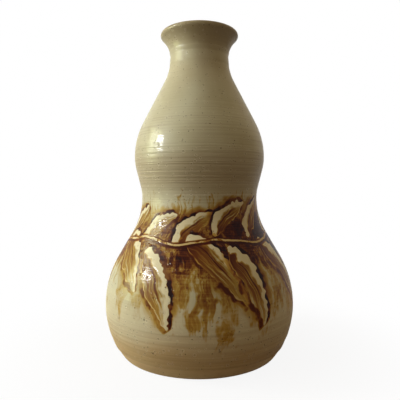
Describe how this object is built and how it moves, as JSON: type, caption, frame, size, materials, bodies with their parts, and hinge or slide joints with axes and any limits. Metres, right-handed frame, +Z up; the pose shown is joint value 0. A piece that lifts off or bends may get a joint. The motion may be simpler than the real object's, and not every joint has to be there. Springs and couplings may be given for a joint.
{
  "type": "gourd vase",
  "caption": "Hand-thrown stoneware vase of double-gourd form with a flared lip, waisted body and turned foot ring.",
  "frame": {"origin": "centre of the foot ring, on the surface that the vase stands on", "axes": "+Z up the axis of the wheel, from the foot to the mouth; the vase is round, so X and Y are alike, and the view of the reference looks along +Y with +X to the right"},
  "size_m": [0.1764, 0.1764, 0.3],
  "materials": {
    "stoneware": "matte",
    "slip": "matte",
    "outer_glaze": "satin",
    "liner_glaze": "gloss"
  },
  "bodies": {
    "root": {"lower_section": "stoneware", "upper_section": "stoneware", "luting_slip": "slip", "seam_coil": "slip", "outer_glaze": "outer_glaze", "liner_glaze": "liner_glaze"}
  },
  "joints": []
}
